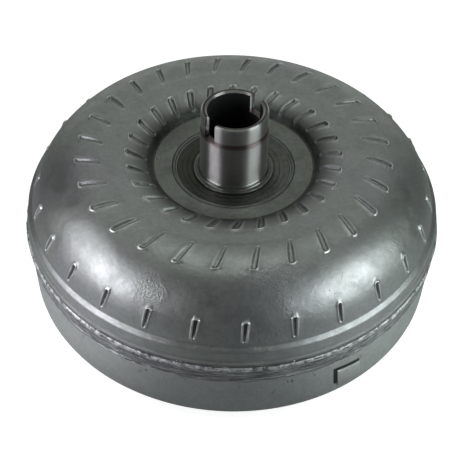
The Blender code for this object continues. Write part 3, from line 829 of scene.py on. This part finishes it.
def balance_weight(finish, gap_shade):
    """Curved plate on the wall, with near-black strips of painted shade for the gap along its upper and left
    edges.
    """
    first, last = WEIGHT_AZIMUTHS
    bottom, top = WEIGHT_HEIGHTS
    far = COVER_R + WEIGHT_THICKNESS
    bm = bmesh.new()
    curved_bar(bm, WEIGHT_AZIMUTHS, (COVER_R - 0.2, far), WEIGHT_HEIGHTS, 14)
    bmesh.ops.recalc_face_normals(bm, faces=bm.faces)
    outer_edges = [e for e in bm.edges if all(v.co.to_2d().length > (far - 0.1) * MM for v in e.verts)]
    border = [e for e in outer_edges if e.calc_face_angle(0) > 0.6]
    bmesh.ops.bevel(bm, geom=border, offset=0.5 * MM, segments=2, affect="EDGES", profile=0.5)
    mesh = clean_mesh("balance_weight_plate", bm, 40)
    link("balance_weight_plate", mesh, finish=finish, replaced=["balance_weight"])

    # Painted shade: near-black strips along the plate's upper and left edges stand for its shaded gap.
    bm = bmesh.new()
    edge = degrees(WEIGHT_GAP / COVER_R)
    radii = (COVER_R - 0.25, COVER_R + 0.35)
    left = (first - edge, first + 0.05)
    for azimuths, low in ((left, bottom + 3.0), (WEIGHT_AZIMUTHS, top - 0.05)):
        steps = max(2, int((azimuths[1] - azimuths[0]) / 0.6))
        curved_bar(bm, azimuths, radii, (low, top + WEIGHT_GAP), steps)
    mesh = clean_mesh("balance_weight_gap_shade", bm, 40)
    link("balance_weight_gap_shade", mesh, finish=gap_shade)


def pilot_boss(finish):
    """The pilot on its flange, with a centre drilled in its end."""
    flange = [(0, 19.2, 0), (26, 19.2, 0.3), (26, 15.6, 0.6), (20.2, 15.2, 0.8)]
    pin = [(19, 14.2, 0.4), (19, 3.4, 0.5), (17.5, 2.0, 0.4), (3.2, 2.0, 0.2), (0.0, 5.0, 0)]
    mesh = grid_mesh("pilot_boss_fine", turn(rounded(flange + pin), 120), 35)
    link("pilot_boss_fine", mesh, finish=finish, replaced=["pilot_boss"])


def drive_lug(index, finish):
    """Lug with a chamfered, threaded blind hole and the fillet weld round its foot."""
    foot = [(0, 8.9, 0), (15.6, 8.9, 0), (15.2, 8.1, 0.5), (14.0, 6.9, 0.6)]
    pad = [(14, 0.9, 0.4), (13.1, 0, 0.3), (5.4, 0, 0.2)]
    crest, root = THREAD_R
    thread = []
    for i in range(int(THREAD_DEPTH / THREAD_PITCH)):
        z = 0.7 + i * THREAD_PITCH
        thread += [(crest, z), (root, z + THREAD_PITCH / 2)]
    outline = rounded(foot + pad) + thread + [(crest, 7.2), (0.0, 8.2)]
    name = "drive_lug_%d" % (index + 1)
    mesh = grid_mesh(name + "_fine", turn(outline, 72), 35)
    place = polar(LUG_CIRCLE_R, 360.0 / LUGS * index) * MM
    mesh.transform(Matrix.Translation(place))
    link(name + "_fine", mesh, finish=finish, replaced=[name])


# ---------------------------------------------------------------- studio

def softbox(name, aim, azimuth, elevation, distance, size, radiance, colour):
    """Rectangular area light that faces a place on the object (millimetres) from a direction."""
    data = bpy.data.lights.new(name, "AREA")
    data.shape = "RECTANGLE"
    data.size, data.size_y = size
    data.energy = radiance * pi * size[0] * size[1]
    data.color = colour
    lamp = bpy.data.objects.new(name, data)
    bpy.context.scene.collection.objects.link(lamp)
    place = Vector(aim) * MM
    flat = cos(radians(elevation)) * distance
    lamp.location = place + polar(flat, azimuth, sin(radians(elevation)) * distance)
    lamp.rotation_mode = "QUATERNION"
    lamp.rotation_quaternion = (place - lamp.location).to_track_quat("-Z", "Y")


def lights():
    softbox("left_box", (-60, -60, 100), -62, 22, 0.55, (0.38, 0.30), 3.1, (0.95, 0.94, 1.0))
    softbox("right_box", (60, -60, 100), 67, 25, 0.55, (0.38, 0.30), 3.6, (0.90, 1.0, 0.97))
    softbox("back_panel", (0, 0, 100), 180, 46, 1.1, (1.8, 1.6), 0.33, (0.95, 1.0, 0.95))
    softbox("back_low", (0, 0, 60), 180, 4, 0.9, (1.8, 0.24), 0.72, (0.97, 1.0, 0.97))
    softbox("ceiling", (0, 0, 110), 180, 80, 0.8, (0.48, 0.20), 2.2, (0.95, 1.0, 0.95))
    softbox("left_spill", (-200, -140, 0), 0, 90, 0.16, (0.15, 0.15), 2.35, (0.97, 0.97, 1.0))
    softbox("right_spill", (182, -178, 0), 0, 90, 0.16, (0.15, 0.15), 1.6, (0.96, 1.0, 0.98))


def world():
    """Dim air for the light on the object, and a pale backdrop where the camera looks past it."""
    made = bpy.data.worlds.new("studio_air")
    made.use_nodes = True
    nodes = made.node_tree.nodes
    links = made.node_tree.links
    dim = nodes["Background"]
    dim.inputs["Color"].default_value = (0.9, 0.95, 0.93, 1.0)
    dim.inputs["Strength"].default_value = 0.07
    pale = nodes.new("ShaderNodeBackground")
    pale.inputs["Color"].default_value = (0.93, 0.93, 0.93, 1.0)
    seen = nodes.new("ShaderNodeLightPath").outputs["Is Camera Ray"]
    blend = nodes.new("ShaderNodeMixShader")
    links.new(seen, blend.inputs[0])
    links.new(dim.outputs[0], blend.inputs[1])
    links.new(pale.outputs[0], blend.inputs[2])
    links.new(blend.outputs[0], nodes["World Output"].inputs[0])
    bpy.context.scene.world = made


def floor():
    """Pale paper; in front of the object it lies in the shade of the camera stand."""
    bm = bmesh.new()
    bmesh.ops.create_grid(bm, x_segments=1, y_segments=1, size=6.0)
    mesh = bpy.data.meshes.new("studio_floor")
    bm.to_mesh(mesh)
    bm.free()
    s = Shader("floor_paper")
    place = s.node("SeparateXYZ", {"Vector": s.coords})
    beside = s.band(s.math("ABSOLUTE", place.outputs["X"]), 0.04, 0.17)
    behind = s.band(place.outputs["Y"], -0.15, -0.05)
    shade = s.band(place.outputs["Y"], -0.12, 0.04, 1.0, 0.5)
    lit = s.math("MULTIPLY", s.math("MAXIMUM", beside, behind), shade)
    s.set(Base_Color=s.mix(lit, (0.32, 0.33, 0.33), (0.80, 0.82, 0.81)), Roughness=0.9)
    glow = s.node("Emission", {"Color": (1.0, 1.0, 1.0, 1.0), "Strength": 0.88})
    seen = s.node("AddShader", {0: s.bsdf.outputs[0], 1: glow.outputs[0]})
    from_camera = s.node("LightPath").outputs["Is Camera Ray"]
    blend = s.node("MixShader", {0: from_camera, 1: s.bsdf.outputs[0], 2: seen.outputs[0]})
    s.tree.links.new(blend.outputs[0], s.out.inputs[0])
    mesh.materials.append(s.material)
    piece = bpy.data.objects.new("studio_floor", mesh)
    bpy.context.scene.collection.objects.link(piece)


def camera():
    data = bpy.data.cameras.new("camera")
    data.lens = CAMERA_LENS
    data.sensor_width = 36.0
    data.shift_x, data.shift_y = CAMERA_SHIFT
    data.clip_start = 0.01
    made = bpy.data.objects.new("camera", data)
    bpy.context.scene.collection.objects.link(made)
    target = Vector((0, 0, CAMERA_TARGET_Z * MM))
    flat = CAMERA_DISTANCE * MM * cos(radians(CAMERA_ELEVATION))
    made.location = target + polar(flat, 0.0, CAMERA_DISTANCE * MM * sin(radians(CAMERA_ELEVATION)))
    aim = (target - made.location).to_track_quat("-Z", "Y").to_matrix().to_4x4()
    roll = Matrix.Rotation(radians(CAMERA_ROLL), 4, "Z")
    made.matrix_world = Matrix.Translation(made.location) @ aim @ roll
    bpy.context.scene.camera = made


def inner_materials():
    """A material for each slot of the CAD nodes, by what they are made of."""
    pressed = plain_metal("oiled_sheet_steel", (0.36, 0.35, 0.33), 0.36)
    hard = plain_metal("lapped_bearing_steel", (0.58, 0.58, 0.58), 0.18, grain=1600.0, depth=0.00005)
    spring = plain_metal("blued_spring_steel", (0.20, 0.22, 0.28), 0.26)
    alloy = plain_metal("cast_alloy", (0.62, 0.63, 0.64), 0.46, grain=520.0, depth=0.0005)
    bronze = plain_metal("sintered_bronze", (0.52, 0.35, 0.17), 0.38, grain=1100.0)
    turned_steel = plain_metal("turned_hub_steel", (0.46, 0.45, 0.43), 0.30, rings=260.0, depth=0.0001)
    return {"pressed_steel": pressed, "hard_steel": hard, "spring_steel": spring,
            "cast_aluminium": alloy, "bronze": bronze, "machined_steel": turned_steel,
            "ground_hub": turned_steel, "weld": pressed, "shell_paint": pressed, "cover_paint": pressed}


def dress_inner_nodes(frame):
    chosen = inner_materials()
    for part in frame["record"]["subparts"]:
        node = frame["nodes"][part["node"]]
        node.data.materials.clear()
        node.data.materials.append(chosen[part["material_slot"]])


def main():
    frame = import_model()
    camera()
    dress_inner_nodes(frame)
    shell_paint = painted_steel("shell_paint", (0.36, 0.38, 0.36), (0.35, 0.355, 0.37), 0.44,
                                bowl_shade=(59.5, 83.0), weld_scale_and_shade=(66.4, 70.6))
    land = machined_ring("turned_land", (0.26, 0.275, 0.25), 0.40, 240.0, 0.0003)
    cover_paint = painted_steel("cover_paint", (0.50, 0.515, 0.51), (0.48, 0.495, 0.50), 0.42, 0.8,
                                drips=(24.0, 47.0))
    weld = weld_steel("painted_weld", (0.56, 0.57, 0.58), WELD_CREST)
    hub_steel = ground_steel("ground_hub_steel", (0.62, 0.60, 0.60), 0.33, 1.0, HEAT_BAND)
    flange = machined_ring("turned_flange", (0.085, 0.088, 0.074), 0.29, 260.0, 0.0004,
                           plus_x_colour=(0.19, 0.20, 0.18))
    turned_steel = machined_ring("turned_steel", (0.46, 0.46, 0.45), 0.30, 300.0, 0.00015)
    collar = machined_ring("oiled_collar", (0.22, 0.225, 0.21), 0.13, 300.0, 0.00015)
    # Near-black finish: painted shade in the hub's bore and in the gap round the balance weight.
    soot_and_shade = plain_metal("painted_shade_black", (0.012, 0.013, 0.013), 0.7, metallic=0.0)
    pump_shell(shell_paint, land)
    front_cover(cover_paint)
    seam_weld(weld)
    weld_spatter(weld)
    hub_weld(land)
    pump_hub(hub_steel, flange, soot_and_shade, collar)
    pilot_boss(turned_steel)
    balance_weight(cover_paint, soot_and_shade)
    for index in range(LUGS):
        drive_lug(index, turned_steel)
    floor()
    world()
    lights()
    bpy.context.scene.view_settings.view_transform = "Standard"


main()
